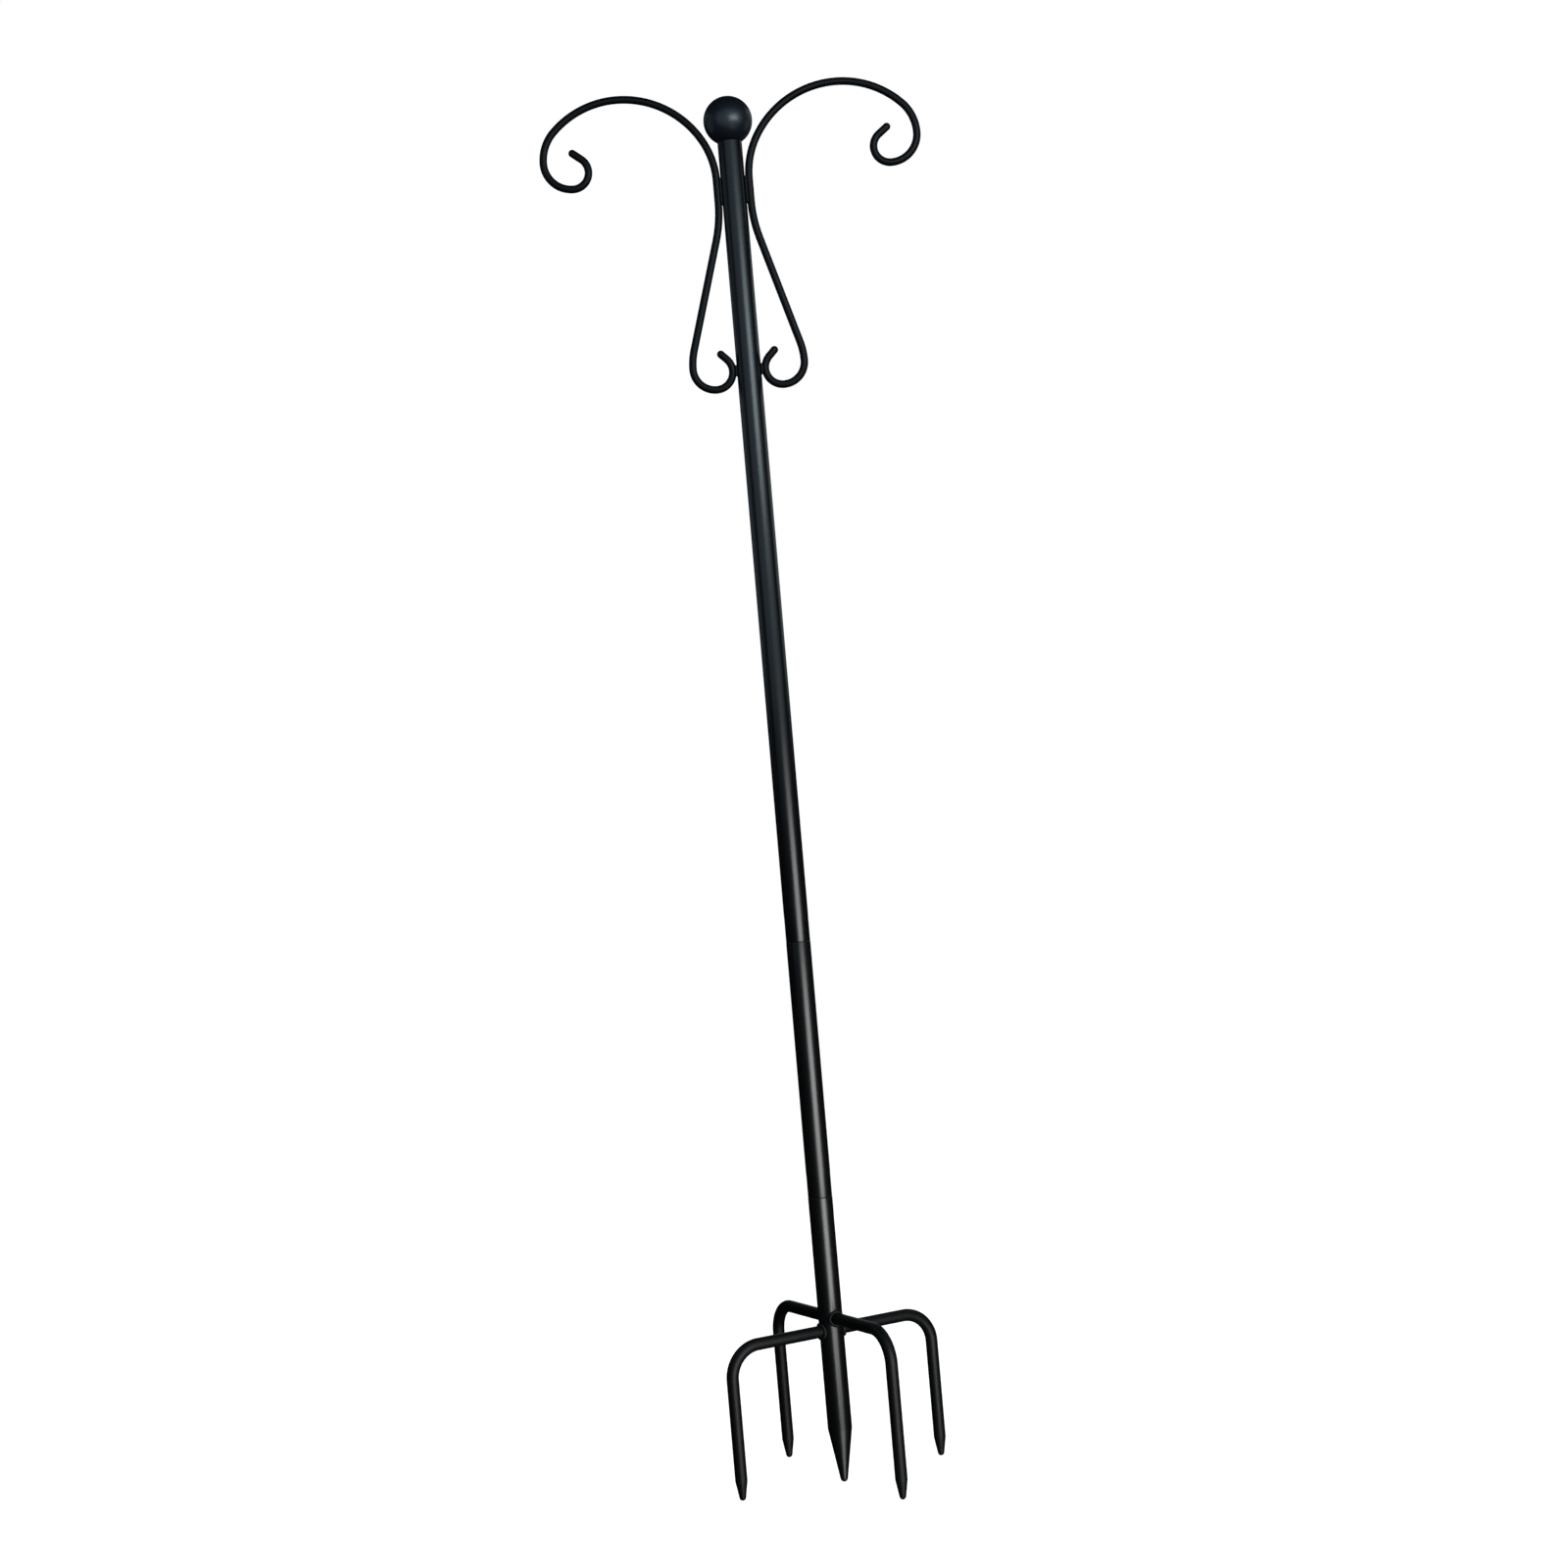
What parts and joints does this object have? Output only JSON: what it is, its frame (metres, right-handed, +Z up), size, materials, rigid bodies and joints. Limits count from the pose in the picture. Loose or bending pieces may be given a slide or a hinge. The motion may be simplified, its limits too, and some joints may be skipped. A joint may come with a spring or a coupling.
{
  "type": "bird feeder pole",
  "caption": "Ground-stake pole with a round finial, scroll hooks on both sides for hanging bird feeders, lift-apart turning tube sections and a pronged base that presses into soil.",
  "frame": {"origin": "pole axis at the ground line, which is the underside of the lower prong bar, where the base stops when it has been pressed fully into the soil", "axes": "+Z up along the pole; +X towards the right-hand hook, so that the hooks lie in the XZ plane; +Y away from the viewer"},
  "size_m": [0.3972, 0.2218, 1.4535],
  "materials": {
    "powder_black": "semi-gloss black powder coat on steel",
    "finial_black": "semi-gloss black powder coat on a turned steel ball",
    "weld_black": "weld beads under the same black powder coat",
    "zinc_steel": "zinc-plated steel"
  },
  "bodies": {
    "ground_base": {"stake_tube": "powder_black", "stake_point": "powder_black", "lower_prong_rod": "powder_black", "upper_prong_rod": "powder_black", "lower_left_weld": "weld_black", "lower_right_weld": "weld_black", "upper_left_weld": "weld_black", "upper_right_weld": "weld_black"},
    "lower_joint": {"lower_connector": "zinc_steel"},
    "middle_pole": {"middle_tube": "powder_black"},
    "upper_joint": {"upper_connector": "zinc_steel"},
    "head": {"head_tube": "powder_black", "left_arm": "powder_black", "right_arm": "powder_black", "left_waist_weld": "weld_black", "right_waist_weld": "weld_black", "left_scroll_weld": "weld_black", "right_scroll_weld": "weld_black", "top_insert": "zinc_steel"},
    "finial_screw": {"finial_stud": "zinc_steel"},
    "finial": {"finial_ball": "finial_black"}
  },
  "joints": [
    {"name": "pole_lift", "type": "slide", "parent": "ground_base", "child": "lower_joint", "axis": [0, 0, 1], "range_m": [0, 0.05]},
    {"name": "pole_turn", "type": "hinge", "parent": "lower_joint", "child": "middle_pole", "pos_m": [0, 0, 0.145], "axis": [0, 0, 1], "continuous": true},
    {"name": "head_lift", "type": "slide", "parent": "middle_pole", "child": "upper_joint", "axis": [0, 0, 1], "range_m": [0, 0.05]},
    {"name": "head_turn", "type": "hinge", "parent": "upper_joint", "child": "head", "pos_m": [0, 0, 0.411], "axis": [0, 0, 1], "continuous": true},
    {"name": "finial_rise", "type": "slide", "parent": "head", "child": "finial_screw", "axis": [0, 0, 1], "range_m": [0, 0.0101]},
    {"name": "finial_turn", "type": "hinge", "parent": "finial_screw", "child": "finial", "pos_m": [0, 0, 1.244], "axis": [0, 0, 1], "range_deg": [0, 2880]}
  ],
  "couplings": [
    {"joint": "finial_rise", "follows": "finial_turn", "m_per_rad": 0.00019894}
  ]
}
